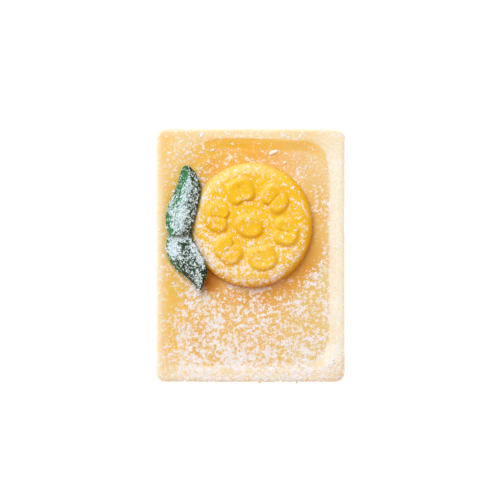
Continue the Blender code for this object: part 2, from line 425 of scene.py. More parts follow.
@dataclass(frozen=True)
class Finish:
    """A procedural finish; each kind gives its own colour."""

    name: str
    roughness: float = 0.55
    gloss: float = 0.5
    light: float = 0.0
    relief: Relief | None = None
    glow: Glow | None = None
    veil: Veil | None = None

    def colour(self, tree: SurfaceTree) -> Socket:
        """The finish's colour before any sugar."""
        raise NotImplementedError

    def material(self) -> Material:
        """Makes the finish's material.

        Returns:
            The material.
        """
        tree = SurfaceTree(self.name)
        colour = self.colour(tree)
        if self.veil:
            colour = tree.dusted(colour, self.veil)
        tree.set(Base_Color=colour, Roughness=self.roughness, Specular_IOR_Level=self.gloss)
        tree.set(Emission_Strength=self.light)
        if self.glow:
            tree.set(Subsurface_Weight=self.glow.share, Subsurface_Radius=self.glow.spread)
            tree.set(Subsurface_Scale=self.glow.reach * MM)
        if self.relief:
            height = tree.clouds(tree.place, self.relief.size)
            bump = {"Height": height, "Strength": self.relief.strength, "Distance": self.relief.depth * MM}
            tree.set(Normal=tree.add("ShaderNodeBump", bump).outputs[0])
        return tree.material


@dataclass(frozen=True)
class IvoryChocolate(Finish):
    """Satin white chocolate, cream on its rim and sides and golden in the recess, with painted light and
    shade in its colour.
    """

    name: str = "ivory_chocolate"
    gloss: float = 0.12
    relief: Relief = Relief(0.35, 0.25, 0.04)
    glow: Glow = Glow(0.3, (1.0, 0.5, 0.15), 1.0)
    veil: Veil = Veil()
    cream: Colour = (0.93, 0.73, 0.39, 1.0)
    # Painted shade: a duller cream on the tilted sides and rounded edges, toning down how brightly the key
    # light shows them.
    edge: Colour = (0.83, 0.7, 0.47, 1.0)
    golden: Colour = (0.86, 0.505, 0.06, 1.0)
    deep: Colour = (0.85, 0.455, 0.045, 1.0)
    pale: Colour = (0.83, 0.57, 0.15, 1.0)
    # Painted shadow: the deeper golden brown painted on the floor where the disc's shadow falls.
    shadow_side: Colour = (0.76, 0.34, 0.02, 1.0)
    # Painted shade: the dark brown painted in the corner between the disc and the lower leaf's tip.
    crevice: Colour = (0.6, 0.215, 0.006, 1.0)
    # Painted light: a brighter golden painted on recess walls that face away from the key light, in place of
    # light passing through the chocolate.
    thin: Colour = (0.99, 0.59, 0.065, 1.0)

    def colour(self, tree: SurfaceTree) -> Socket:
        """Mixes the rim's cream with the recess's golden tones, adding painted shade on tilted edges, the
        disc's painted shadow, painted corner shade and painted light on the shaded walls.

        Args:
            tree: The material's tree.

        Returns:
            The colour's socket.
        """
        recess = tree.mottled(3.2, 0.38, 0.66, self.golden, self.deep)
        # Painted shadow, painted shade and painted light are mixed into the recess here, after its paler
        # tone.
        for name in ("pale", "shadow_side", "crevice", "thin"):
            recess = tree.mix(tree.share(name), recess, getattr(self, name))
        # Painted shade on tilted sides and rounded edges.
        rim = tree.mix(tree.share("edge"), self.cream, self.edge)
        return tree.mix(tree.share("gold"), rim, recess)


@dataclass(frozen=True)
class YellowChocolate(Finish):
    """Bright yellow chocolate with the soft gloss of a mould."""

    name: str = "yellow_chocolate"
    roughness: float = 0.4
    gloss: float = 0.05
    relief: Relief = Relief(0.4, 0.2, 0.04)
    glow: Glow = Glow(0.12, (1.0, 0.45, 0.06), 0.7)
    # Its film colour is laid both as sugar and as painted highlight.
    veil: Veil = Veil(PATCH_SIZE, 0.5, 0.85, film_white=(1.0, 0.88, 0.5, 1.0))
    yellow: Colour = (0.95, 0.58, 0.001, 1.0)
    warm: Colour = (0.93, 0.52, 0.001, 1.0)
    # Painted shade: a deeper orange for the side and ornament slopes that face away from the light.
    side: Colour = (0.9, 0.42, 0.002, 1.0)

    def colour(self, tree: SurfaceTree) -> Socket:
        """A mottled yellow, with a deeper orange painted as shade on the side and slopes away from the light.
        """
        top = tree.mottled(2.4, 0.35, 0.68, self.yellow, self.warm)
        return tree.mix(tree.share("side"), top, self.side)


@dataclass(frozen=True)
class LeafPaste(Finish):
    """Green sugar paste, lit green on one flank and a darker green painted as shade on the other."""

    name: str = "leaf_green"
    gloss: float = 0.15
    relief: Relief = Relief(0.3, 0.3, 0.05)
    veil: Veil = Veil(LEAF_PATCH_SIZE, 0.35, 0.85, (0.6, 0.75, 0.8, 1.0), (0.6, 0.75, 0.8, 1.0))
    # Painted shade: a darker copy of the paste's green.
    painted_shade_green: Colour = (0.014, 0.037, 0.014, 1.0)
    fresh: Colour = (0.035, 0.2, 0.07, 1.0)
    mottle: float = 0.25

    def colour(self, tree: SurfaceTree) -> Socket:
        """The lit green by its attribute, unevenly, over the darker green of painted shade."""
        mottle = tree.ramp(tree.clouds(tree.place, 1.2), 0.3, 0.7, -self.mottle, self.mottle)
        return tree.mix(tree.math("ADD", tree.share("fresh"), mottle, clamp=True), self.painted_shade_green, self.fresh)


@dataclass(frozen=True)
class IcingSugar(Finish):
    """White sugar grains, matte and faintly cool."""

    name: str = "icing_sugar"
    roughness: float = 0.95
    gloss: float = 0.2
    bright: Colour = (0.99, 0.96, 0.98, 1.0)
    soft: Colour = (0.96, 0.92, 0.92, 1.0)

    def colour(self, tree: SurfaceTree) -> Socket:
        """Grains of two whites."""
        return tree.mottled(0.5, 0.35, 0.65, self.soft, self.bright, detail=2.0)


@dataclass(frozen=True)
class StudioWhite(Finish):
    """A pale, softly lit floor."""

    name: str = "studio_white"
    roughness: float = 0.9
    light: float = 0.95
    white: Colour = (0.6, 0.6, 0.6, 1.0)
    shade: Colour = (0.56, 0.56, 0.57, 1.0)

    def colour(self, tree: SurfaceTree) -> Socket:
        """A white that is a little uneven."""
        return tree.mix(tree.clouds(tree.place, 4.0, detail=2.0), self.white, self.shade)


# ---- the tile


@dataclass(frozen=True)
class Zone:
    """An amount that is eased in over part of a plan.

    Each row holds pairs, where the share is 0 and where it is 1, along x, y, x + y and x - y.
    """

    amount: float
    x: Row = ()
    y: Row = ()
    total: Row = ()
    excess: Row = ()

    def at(self, x: Array, y: Array) -> Array:
        """How much the zone adds at points in plan.

        Args:
            x: The points' x.
            y: The points' y.

        Returns:
            One amount for each point.
        """
        amount = np.full(len(x), self.amount)
        for row, place in ((self.x, x), (self.y, y), (self.total, x + y), (self.excess, x - y)):
            for nothing, full in zip(row[::2], row[1::2]):
                amount = amount * smooth(nothing, full, place)
        return amount


def zones_at(zones: tuple[Zone, ...], x: Array, y: Array) -> Array:
    """The sum of what the zones add at points in plan."""
    return sum(zone.at(x, y) for zone in zones)


# Golden colour that comes through on the rim, most of it above the soft wall.
RIM_GOLD = (
    Zone(0.02),
    Zone(0.12, (-9.5, -11.5, -12.5, -11.9), (17.0, 16.2)),
    Zone(0.28, (-9.5, -11.5, -12.5, -11.9), (11.5, 15.0, 17.0, 16.2)),
    Zone(0.17, (-4.5, -9.5, -12.5, -11.9), (8.0, 12.0, 17.0, 16.2)),
    Zone(0.04, y=(8.0, 16.0)),
    Zone(0.12, excess=(26.2, 27.6)),
)
# Even film of sugar on the recess floor: upper right, right edge, lower half and foot of the lower wall.
FLOOR_FILM = (
    Zone(0.04),
    Zone(0.19, (-1.0, 7.0), (6.0, 11.0)),
    Zone(0.12, (8.8, 10.8)),
    Zone(0.06, y=(1.0, -9.0)),
    Zone(0.04, y=(-12.5, -14.0, -15.4, -14.9)),
)
# Where the upper wall sheds part of that film.
UPPER_WALL_SHED = Zone(0.4, (10.0, 8.0), (12.8, 14.2))
# Film on the rim: its right half, its lower left and its left edge.
RIM_FILM = (
    Zone(0.04),
    Zone(0.08, (-10.0, -6.0)),
    Zone(0.14, (-7.0, -10.0), (-15.5, -16.3)),
    Zone(0.2, (-11.9, -12.4)),
)
RIGHT_RIM_FILM = Zone(0.7, (8.5, 11.0))
CORNERS_WITHOUT_FILM = (Zone(0.4, total=(24.5, 27.0)), Zone(1.0, excess=(25.6, 27.2)))
# Patches of sugar over the whole tile, more of them towards its lower end.
BROAD_POWDER = (
    Zone(0.26),
    Zone(0.155, y=(3.0, -4.0)),
    Zone(0.05, y=(-4.0, -14.0)),
    Zone(0.06, (-3.0, -10.0), (14.0, 6.0)),
    Zone(-0.08, (6.0, -8.0), (6.0, 14.0)),
    Zone(-0.09, (1.0, 5.0), (5.0, 9.0)),
    Zone(-0.06, (-5.0, -3.0, 8.0, 6.0), (-4.0, -6.0, -13.5, -11.5)),
    Zone(-0.05, (-9.6, -10.2), (-2.0, -4.0, -16.5, -12.5)),
)
RIGHT_RIM_BARE = Zone(0.5, (11.0, 12.2), (-15.0, -9.0))
# Smaller thick and thin places by the soft wall, under the disc, at the lower wall and in a corner.
LOCAL_POWDER = (
    Zone(-0.08, (-7.5, -9.5), (12.0, 8.0)),
    Zone(0.03, (-3.0, -6.0), (9.0, 12.0)),
    Zone(0.05, (-6.4, -7.4, -10.0, -9.0), (-1.0, -3.0, -8.0, -6.0)),
    Zone(-0.02, (-6.0, -8.0), (0.0, -3.0)),
    Zone(-0.06, y=(-4.0, -4.8, -8.0, -6.5)),
    Zone(0.06, (-5.0, -2.0), (-12.5, -14.0, -15.3, -14.8)),
    Zone(-0.12, excess=(25.6, 27.2)),
)
# Upper part of the left soft wall, where the brighter golden of painted light is laid whatever the wall
# faces.
PAINTED_GLOW_ZONE = Zone(0.7, (-8.0, -11.0), (6.0, 12.0))
DISC_FOOT_POWDER = Zone(0.2, (6.0, 3.0, -3.5, -2.5), (0.0, -3.0))
UPPER_WALL_BARE = Zone(0.85, (-7.0, -2.0), (15.2, 15.6))
END_POWDER = (
    Zone(0.04, y=(-15.6, -16.1)),
    Zone(0.05, y=(15.9, 16.3)),
    Zone(-0.04, (6.0, 7.5), (2.0, 0.0, -9.0, -7.0)),
)


@dataclass
class Tile:
    """Moulded tile with a raised rim round a shallow recess, its wall softer at the left."""

    corner_radius: float = 1.35
    side_draft: float = math.radians(1.5)
    base_rounding: float = 0.35
    top_rounding: float = 0.45
    edge_waver: float = 0.05
    recess_depth: float = 0.7
    top_line: Row = (-12.1, 12.0, -15.85, 16.05)
    top_radii: Row = (3.4, 8.5, 3.4, 3.4)
    foot_line: Row = (-8.6, 10.9, -15.2, 14.3)
    foot_radii: Row = (4.2, 8.5, 4.6, 4.2)
    wall_rounding: float = 0.4
    wall_waver: float = 0.06
    swell: Pair = (0.03, 0.012)
    soft_from: float = -9.0
    crisp_from: float = -1.0
    shadow_reach: float = 4.2
    shadow_bearing: float = 295.0
    film_bearing: float = 270.0
    bare_bearing: float = 325.0
    crevice_rise: float = 1.9
    leaf_lee: Pair = (-4.9, -3.3)
    sugar_edge: Pair = (-10.6, -11.5)
    inner_half_width: float = 12.3
    dusted_side: float = 1.0
    side_powder: float = 0.12
    arc_points: int = 22
    short_points: int = 44
    long_points: int = 64
    base_rings: int = 7
    side_rings: int = 12
    edge_rings: int = 9
    wall_rings: int = 26
    floor_rings: int = 36

    def __post_init__(self) -> None:
        """Reads the tile's outside and its neighbours' places from their CAD nodes."""
        low, high = node_box("shell")
        self.size = high - low
        self.height = float(high[2])
        self.floor_height = self.height - self.recess_depth
        self.disc_middle, self.disc_half = plan_box("disc")
        leaf_low, leaf_high = node_box("leaf_lower")
        # Centre of the corner where the painted shade is darkest.
        self.crevice_place = (leaf_high[0], leaf_low[1] + self.crevice_rise)

    def outline(self, line: Row, radii: Row) -> Array:
        """Plan points round a rectangle with four corner radii.

        Args:
            line: Left, right, bottom and top.
            radii: Corner radii at top right, top left, bottom left and bottom right.

        Returns:
            Rows of x, y, alike in number for every outline.
        """
        left, right, bottom, top = line
        corners = ((right, top, 0), (left, top, 90), (left, bottom, 180), (right, bottom, 270))
        arcs = []
        for (x, y, start), radius in zip(corners, radii):
            turns = np.radians(np.linspace(start, start + 90, self.arc_points))
            centre = (x - math.copysign(radius, x), y - math.copysign(radius, y))
            arcs.append(centre + radius * np.column_stack((np.cos(turns), np.sin(turns))))
        counts = (self.short_points, self.long_points) * 2
        pieces = []
        for arc, after, count in zip(arcs, arcs[1:] + arcs[:1], counts):
            shares = np.linspace(0.0, 1.0, count + 2)[1:-1, None]
            pieces += [arc, arc[-1] + (after[0] - arc[-1]) * shares]
        return np.vstack(pieces)

    def outside(self, inset: float) -> Array:
        """The tile's outside in plan, with the waver of a moulded edge.

        Args:
            inset: How far the outline is moved inwards.

        Returns:
            Rows of x, y.
        """
        half_x, half_y = self.size[0] / 2 - inset + self.edge_waver, self.size[1] / 2 - inset
        outline = self.outline((-half_x, half_x, -half_y, half_y), (self.corner_radius,) * 4)
        along = outline[:, 0] - outline[:, 1]
        waver = 0.5 + 0.5 * np.sin(0.55 * along) * np.cos(0.23 * along + 1.0)
        return outline * (1.0 - self.edge_waver / half_x * waver)[:, None]

    @staticmethod
    def gold_line(plan: Array, soft_share: Array) -> tuple[Array, Array]:
        """Where down the wall the rim's cream turns golden, and over how much of it, as shares.

        Args:
            plan: Rows of x, y along the wall's top.
            soft_share: How soft the wall is there.

        Returns:
            The middle of the change, and half its width.
        """
        x, y = plan.T
        upper_right = np.interp(x, (-1.0, 8.0, 11.0, 11.9), (0.0, 0.2, 0.5, 1.0))
        right = np.where(y > 0.0, upper_right, smooth(9.0, 11.0, x))
        bottom = smooth(-14.0, -15.6, y)
        upper_soft = np.where(y < 8.0, soft_share, smooth(-5.8, -10.3, x))
        soft = np.where(y < 0.0, smooth(-9.0, -11.5, x), upper_soft)
        upper_left = soft * smooth(8.0, 13.0, y)
        middle = np.maximum(right, bottom) * (1.0 - soft) + (0.12 + 0.03 * upper_left) * soft
        return middle, 0.06 + 0.17 * soft + 0.57 * upper_left

    def wall(self) -> tuple[list[Array], list[Array]]:
        """Rings from the rim down the recess wall to its floor, and how golden each point is.

        Returns:
            The rings and their gold.
        """
        top = self.outline(self.top_line, self.top_radii)
        foot = self.outline(self.foot_line, self.foot_radii)
        soft_share = smooth(self.crisp_from, self.soft_from, top[:, 0])
        middle, half_width = self.gold_line(top, soft_share)
        waver = self.wall_waver * cloud(lift(top, 0.0), 1.6, 1.0)[:, None] * (top / np.abs(top).max())
        rim_gold = zones_at(RIM_GOLD, *top.T)
        bend = self.wall_rounding
        rings, golds = [], []
        for share in np.linspace(0.0, 1.0, self.wall_rings + 1):
            drop = share * share / (2 * bend) if share < bend else share - bend / 2
            crisp = drop / (1 - bend / 2)
            depth = self.recess_depth * (crisp + (smooth(0.0, 1.0, share) - crisp) * soft_share)
            rings.append(lift(top + waver + (foot - top) * share, self.height - depth))
            golds.append(rim_gold + (1.0 - rim_gold) * smooth(-1.0, 1.0, (share - middle) / half_width))
        return rings, golds

    def profile(self) -> list[Pair]:
        """The outside's inset and height, from its foot over the lower rounding to the rim.

        Returns:
            Pairs of inset and height.
        """
        base, top = self.base_rounding, self.top_rounding
        side = self.height - base - top
        lean = side * math.tan(self.side_draft)
        counts = (self.base_rings, self.edge_rings)
        low, high = (np.radians(np.linspace(0.0, 90.0, count)) for count in counts)
        pairs = [(base * (1 - math.sin(turn)), base * (1 - math.cos(turn))) for turn in low]
        shares = np.linspace(0.0, 1.0, self.side_rings)[1:-1]
        pairs += [(lean * share, base + side * share) for share in shares]
        return pairs + [
            (lean + top * (1 - math.cos(turn)), self.height - top * (1 - math.sin(turn))) for turn in high
        ]

    def rings(self) -> tuple[list[Array], list[Array]]:
        """All rings of the tile, from its underside round to the recess floor, and their gold.

        Returns:
            The rings and their gold.
        """
        rings = [lift(self.outside(self.base_rounding) * share, 0.0) for share in (0.4, 0.75, 0.95)]
        rings += [lift(self.outside(inset), height) for inset, height in self.profile()]
        wall, wall_gold = self.wall()
        rim_edge = rings[-1]
        rings += [rim_edge + (wall[0] - rim_edge) * share for share in (0.35, 0.7)]
        golds = [zones_at(RIM_GOLD, ring[:, 0], ring[:, 1]) for ring in rings] + wall_gold
        foot = wall[-1]
        middle = foot.mean(axis=0)
        shares = np.linspace(1.0, 0.0, self.floor_rings + 1)[1:-1]
        floor = [middle + (foot - middle) * share for share in shares]
        return rings + wall + floor, golds + [np.ones(len(foot))] * len(floor)

    def beside_disc(self, points: Array, bearing: float) -> tuple[Array, Array]:
        """Where points are beside the disc in plan.

        Args:
            points: Rows of x, y, z.
            bearing: A direction from the disc's middle, in degrees from x.

        Returns:
            How far each point is beyond the disc's edge, and the cosine of its angle from the bearing.
        """
        from_middle = points[:, :2] - self.disc_middle
        beyond = (np.hypot(*(from_middle / self.disc_half).T) - 1.0) * self.disc_half.mean()
        return beyond, from_middle @ heading(bearing) / np.maximum(np.hypot(*from_middle.T), 0.1)

    def in_recess(self, points: Array, below_rim: float, above_floor: float, half_length: float) -> Array:
        """Which points lie inside the rim and above the floor.

        Args:
            points: Rows of x, y, z.
            below_rim: How far below the rim they are at least.
            above_floor: How far above the floor they are at least.
            half_length: How far from the tile's middle they are at most, along it.

        Returns:
            True or false for each point.
        """
        x, y, z = points.T
        inside = (np.abs(x) < self.inner_half_width) & (np.abs(y) < half_length)
        return inside & (z < self.height - below_rim) & (z > self.floor_height + above_floor)

    def shadow_side(self, points: Array) -> Array:
        """Painted shadow: how much of the disc's shadow is painted, as a deeper golden brown, on the floor
        beside each point.

        Args:
            points: Rows of x, y, z.

        Returns:
            One share for each point, from 0 to 1.
        """
        beyond, away = self.beside_disc(points, self.shadow_bearing)
        by_disc = smooth(self.shadow_reach, 1.2, beyond) * smooth(-0.2, 1.0, beyond)
        return by_disc * (0.12 + 0.75 * smooth(0.45, 1.0, away))

    def crevice(self, points: Array) -> Array:
        """Painted shade: how much dark brown is painted on each point in the corner between the disc and the
        lower leaf's tip, from 0 to 1.
        """
        from_corner = np.hypot(*(points[:, :2] - self.crevice_place).T)
        return smooth(3.2, 1.0, from_corner) * smooth(-7.6, -6.6, points[:, 0])

    def painted_wall_glow(self, points: Array, normals: Array) -> Array:
        """Painted light: where a brighter golden is painted on recess walls that face away from the key
        light, and on the upper left soft wall, from 0 to 1.
        """
        facing = smooth(0.02, 0.3, -normals[:, 1]) + 0.8 * smooth(0.02, 0.25, normals[:, 0])
        return np.maximum(facing * self.in_recess(points, 0.02, -0.1, 16.3), PAINTED_GLOW_ZONE.at(*points.T[:2]))

    @staticmethod
    def paleness(points: Array) -> Array:
        """How much paler and greener the recess floor is, mostly towards its right side.

        Args:
            points: Rows of x, y, z.

        Returns:
            One share for each point, from 0 to 1.
        """
        x, y, _ = points.T
        upwards = np.maximum(smooth(9.0, 2.0, y), 0.6 * smooth(4.0, 9.0, x))
        return (0.15 + 0.85 * smooth(2.0, 8.0, x)) * upwards * smooth(-8.0, -4.0, x)

    def film(self, points: Array, normals: Array, gold: Array) -> Array:
        """How white an even film of sugar makes each point, from 0 to 1, thinned where painted shadow lies
        and thicker below the disc, where it also paints light over the contact shade.

        Args:
            points: Rows of x, y, z.
            normals: The surface's direction at each point.
            gold: How golden each point is.

        Returns:
            One share for each point.
        """
        x, y, _ = points.T
        up = normals[:, 2]
        floor = zones_at(FLOOR_FILM, x, y) * (1.0 - UPPER_WALL_SHED.at(x, y) * smooth(0.975, 0.92, up))
        # The film is thinned under the painted shadow and corner shade, which deepens that painted shade.
        floor *= 1.0 - 0.6 * np.maximum(self.shadow_side(points), self.crevice(points))
        # Sugar film below the disc's foot, which also paints light over the contact shade there.
        beyond, below = self.beside_disc(points, self.film_bearing)
        floor += 0.16 * smooth(1.1, 0.3, beyond) * smooth(0.8, 0.95, below)
        right_rim = RIGHT_RIM_FILM.at(x, y) * (1.0 - zones_at(CORNERS_WITHOUT_FILM, x, y))
        rim = zones_at(RIM_FILM, x, y) + right_rim
        outer_edge = smooth(12.2, 12.6, np.maximum(np.abs(x), np.abs(y) - 4.5))
        rim += 0.2 * smooth(0.97, 0.8, up) * outer_edge
        amount = rim + (floor - rim) * smooth(0.25, 0.7, gold)
        return amount * (1.0 + 0.3 * cloud(points, 2.6, 4.0))

    def powder(self, points: Array, normals: Array) -> Array:
        """How much of each place's surroundings patches of sugar take up, from 0 to 1.

        Args:
            points: Rows of x, y, z.
            normals: The surface's direction at each point.

        Returns:
            One share for each point.
        """
        x, y, z = points.T
        lower, upper = self.sugar_edge
        sugar_edge = lower + (upper - lower) * smooth(-6.0, 4.0, y)
        amount = zones_at(BROAD_POWDER, x, y) - 0.13 * smooth(0.8, -0.5, x - sugar_edge)
        amount = amount * (1.0 - RIGHT_RIM_BARE.at(x, y)) + zones_at(LOCAL_POWDER, x, y)
        amount *= 1.0 + 0.5 * cloud(points, 2.6, 3.0)
        beyond, facing = self.beside_disc(points, self.bare_bearing)
        amount *= 1.0 - 0.7 * smooth(2.6, 1.2, beyond) * smooth(0.6, 0.9, facing)
        amount += smooth(1.1, 0.4, beyond) * DISC_FOOT_POWDER.at(x, y)
        from_lee = np.hypot(*(points[:, :2] - self.leaf_lee).T)
        amount *= 1.0 - 0.85 * smooth(2.2, 1.0, from_lee)
        amount *= 1.0 - UPPER_WALL_BARE.at(x, y) * (z < self.height - 0.02)
        amount += zones_at(END_POWDER, x, y)
        amount *= 1.0 - self.in_recess(points, 0.06, 0.08, 15.2) * smooth(0.97, 0.86, normals[:, 2])
        return np.where(z > self.height - self.dusted_side, amount, self.side_powder)

    def build(self, material: Material) -> Object:
        """Makes the dressed tile.

        Args:
            material: The tile's material.

        Returns:
            The tile's object.
        """
        rings, golds = self.rings()
        points, faces = skin(rings, rings[0].mean(axis=0), rings[-1].mean(axis=0))
        obj = mesh_object("tile", points, faces)
        flat, normals = points_of(obj), vertex_rows(obj, "normal")
        gold = np.concatenate([*golds, [0.02], [1.0]])
        swell = self.swell[0] * cloud(flat, 3.5, 7.0) + self.swell[1] * cloud(flat, 0.9, 8.0)
        swell *= smooth(0.1, 1.0, flat[:, 2])
        move_points(obj, flat + normals * (swell - SKIN_DROP)[:, None])
        write_shares(
            obj,
            gold=gold,
            # Painted light on the shaded recess walls.
            thin=self.painted_wall_glow(flat, normals),
            pale=self.paleness(flat),
            # Painted shadow of the disc on the floor.
            shadow_side=self.shadow_side(flat),
            # Painted shade in the corner between the disc and the lower leaf.
            crevice=self.crevice(flat),
            # Painted shade on tilted surfaces, by how far they tilt.
            edge=smooth(0.97, 0.7, normals[:, 2]),
            film=self.film(flat, normals, gold),
            powder=self.powder(flat, normals),
        )
        return finish_piece(obj, Slot.IVORY, material, "shell")


# ---- the disc


@dataclass
class Petal:
    """One raised petal of the disc's ornament, with a notch towards the button and a vein."""

    bearing: float
    reach: float
    phase: float
    half_length: float = 1.8
    half_width: float = 2.05
    squareness: float = 2.6
    notch: float = 0.3
    notch_spread: float = 0.42
    unevenness: float = 0.06
    vein_depth: float = 0.16
    vein_width: float = 0.2

    def depth_in(self, plan: Array) -> tuple[Array, Array]:
        """How far inside the petal each point is, and how deep its vein is there.

        Args:
            plan: Rows of x, y from the disc's centre.

        Returns:
            1 at the petal's middle, 0 at its foot and negative outside, and the vein's depth.
        """
        along, across = axes_at(plan - self.reach * heading(self.bearing), self.bearing)
        turns = np.arctan2(across, along)
        sides = np.abs(np.cos(turns) / self.half_length) ** self.squareness
        ends = np.abs(np.sin(turns) / self.half_width) ** self.squareness
        radius = (sides + ends) ** (-1 / self.squareness)
        from_notch = (np.mod(turns, 2 * math.pi) - math.pi) / self.notch_spread
        radius *= 1 - self.notch * np.exp(-from_notch * from_notch)
        radius *= 1 + self.unevenness * np.sin(2 * turns + self.phase)
        vein = self.vein_depth * np.exp(-((across / self.vein_width) ** 2))
        vein = vein * smooth(-1.4, -0.9, along) * smooth(1.1, 0.4, along)
        return 1 - np.hypot(along, across) / radius, vein


@dataclass
class Button:
    """The oval button in the middle of the disc's ornament."""

    centre: Pair = (-0.36, -0.23)
    half_sizes: Pair = (2.1, 1.6)
    bearing: float = -17.0

    def depth_in(self, plan: Array) -> Array:
        """How far inside the button each point is, 1 at its middle and 0 at its foot."""
        along, across = axes_at(plan - self.centre, self.bearing)
        return 1 - np.hypot(along / self.half_sizes[0], across / self.half_sizes[1])


# Patches of sugar on the disc, more of them low down and at its left and right edges.
DISC_POWDER = (Zone(0.22), Zone(0.18, y=(1.5, -6.0)), Zone(0.12, (-2.0, -6.5)), Zone(0.06, (4.0, 7.0)))


@dataclass
class Disc:
    """Round moulded disc with petals round an oval button.

    The section gives the ornament's height at depths inside its foot.
    """

    shoulder: float = 1.7
    base_rounding: float = 0.2
    relief_height: float = 0.45
    sink: float = 0.32
    petal_count: int = 6
    first_bearing: float = 48.0
    petal_reach: float = 4.75
    phase_step: float = 1.7
    section_in: Row = (-0.1, -0.04, 0.04, 0.13, 0.23, 0.33, 0.44, 0.56, 0.76, 1.0)
    section_up: Row = (0.0, 0.02, 0.14, 0.3, 0.42, 0.45, 0.43, 0.4, 0.38, 0.38)
    slope_step: float = 0.05
    around: int = 384
    top_rings: int = 96
    side_rings: int = 7
    shoulder_rings: int = 14

    def __post_init__(self) -> None:
        """Reads the disc's place from its CAD node."""
        low, high = node_box("disc")
        self.centre, self.half = plan_box("disc")
        self.bottom = float(low[2]) - self.sink
        self.top = float(high[2]) - self.relief_height

    def relief(self, plan: Array) -> Array:
        """Height of the ornament above the disc's top.

        Args:
            plan: Rows of x, y from the disc's centre.

        Returns:
            One height for each point.
        """
        depth = Button().depth_in(plan)
        groove = np.zeros(len(plan))
        for number in range(self.petal_count):
            bearing = self.first_bearing + 360.0 * number / self.petal_count
            inside, vein = Petal(bearing, self.petal_reach, self.phase_step * number).depth_in(plan)
            depth, groove = np.maximum(depth, inside), np.maximum(groove, vein)
        return np.interp(depth, self.section_in, self.section_up) - groove

    def slopes(self, plan: Array) -> tuple[Array, Array]:
        """How steep the ornament is, as rise over run.

        Args:
            plan: Rows of x, y from the disc's centre.

        Returns:
            The steepness at each point, and the rise towards the light.
        """
        moves = np.eye(2) * self.slope_step
        rises = [self.relief(plan + move) - self.relief(plan - move) for move in moves]
        x_slope, y_slope = (rise / (2 * self.slope_step) for rise in rises)
        return np.hypot(x_slope, y_slope), x_slope * LIGHT_FROM[0] + y_slope * LIGHT_FROM[1]

    @staticmethod
    def towards_light(points: Array) -> Array:
        """The cosine of each point's angle from the light, seen from the disc's middle."""
        plan = points[:, :2]
        return plan @ np.array(LIGHT_FROM) / np.maximum(np.hypot(*plan.T), 0.1)

    def rings(self) -> list[Array]:
        """Rings from the disc's underside round to the middle of its top.

        Returns:
            The rings.
        """
        turns = np.linspace(0.0, 2 * math.pi, self.around, endpoint=False)
        circle = np.column_stack((np.cos(turns), np.sin(turns)))
        side_foot = self.bottom + self.base_rounding
        side_top = self.top - self.shoulder
        sizes = [(self.base_rounding, self.bottom), (0.05, self.bottom + 0.05), (0.0, side_foot)]
        for share in np.linspace(0.0, 1.0, self.side_rings)[1:-1]:
            sizes.append((0.0, side_foot + (side_top - side_foot) * share))
        for turn in np.radians(np.linspace(0.0, 90.0, self.shoulder_rings + 1)):
            sizes.append((self.shoulder * (1 - math.cos(turn)), side_top + self.shoulder * math.sin(turn)))
        top = circle * (self.half - self.shoulder)
        shares = np.linspace(1.0, 0.0, self.top_rings + 1)[1:-1]
        rings = [lift(circle * (self.half - inset), height) for inset, height in sizes]
        return rings + [lift(top * share, self.top) for share in shares]

    def powder(self, points: Array) -> Array:
        """How much sugar lies at each point, from 0 to 1.

        Args:
            points: Rows of x, y from the disc's centre and height.

        Returns:
            One share for each point.
        """
        x, y, height = points.T
        amount = zones_at(DISC_POWDER, x, y)
        amount *= 1.0 - 0.4 * smooth(0.4, 1.0, (height - self.top) / self.relief_height)
        amount *= 1.0 - 0.7 * smooth(0.4, 0.9, self.slopes(points[:, :2])[0])
        amount *= 1.0 + 0.4 * cloud(points, 2.4, 11.0)
        by_leaves = smooth(-5.5, -7.0, x) * smooth(5.0, 2.0, y)
        spill = 0.6 * np.maximum(smooth(-4.0, -7.0, y) * smooth(5.5, 3.0, x), by_leaves)
        return np.maximum(amount * smooth(self.top - 0.8, self.top - 0.2, height + spill), 0.06)

    def film(self, points: Array) -> Array:
        """How pale each point is made, from 0 to 1: an even film of sugar, and a painted highlight on the
        shoulder and ornament slopes that face the light.

        Args:
            points: Rows of x, y from the disc's centre and height.

        Returns:
            One share for each point.
        """
        x, y, height = points.T
        amount = 0.04 + 0.04 * smooth(0.0, -6.5, y) + 0.02 * cloud(points, 1.8, 13.0)
        amount *= smooth(self.top - 0.9, self.top - 0.3, height)
        # Painted highlight on the shoulder that faces the light.
        painted_shoulder_highlight = smooth(0.2, 0.9, self.towards_light(points)) * smooth(6.7, 7.6, np.hypot(x, y))
        amount += 0.35 * painted_shoulder_highlight * smooth(self.top - 1.8, self.top - 1.2, height)
        # Painted highlight on ornament slopes that face the light.
        return amount + 0.25 * smooth(0.15, 0.8, -self.slopes(points[:, :2])[1])

    def painted_side_shade(self, points: Array) -> Array:
        """Painted shade: how much deeper orange is painted on the side away from the light and on slopes that
        rise towards the light, so face away from it.
        """
        side = smooth(0.2, 1.2, self.top - points[:, 2]) * smooth(-0.1, 0.9, -self.towards_light(points))
        return np.maximum(side, 0.7 * smooth(0.1, 0.7, self.slopes(points[:, :2])[1]))

    def build(self, material: Material) -> Object:
        """Makes the dressed disc.

        Args:
            material: The disc's material.

        Returns:
            The disc's object.
        """
        rings = self.rings()
        points, faces = skin(rings, np.array((0.0, 0.0, self.bottom)), np.array((0.0, 0.0, self.top)))
        plan = points[:, :2].copy()
        on_top = smooth(self.top - 0.5, self.top, points[:, 2])
        points[:, 2] += self.relief(plan) * on_top
        points[:, 2] += 0.02 * cloud(points, 2.0, 9.0) * on_top
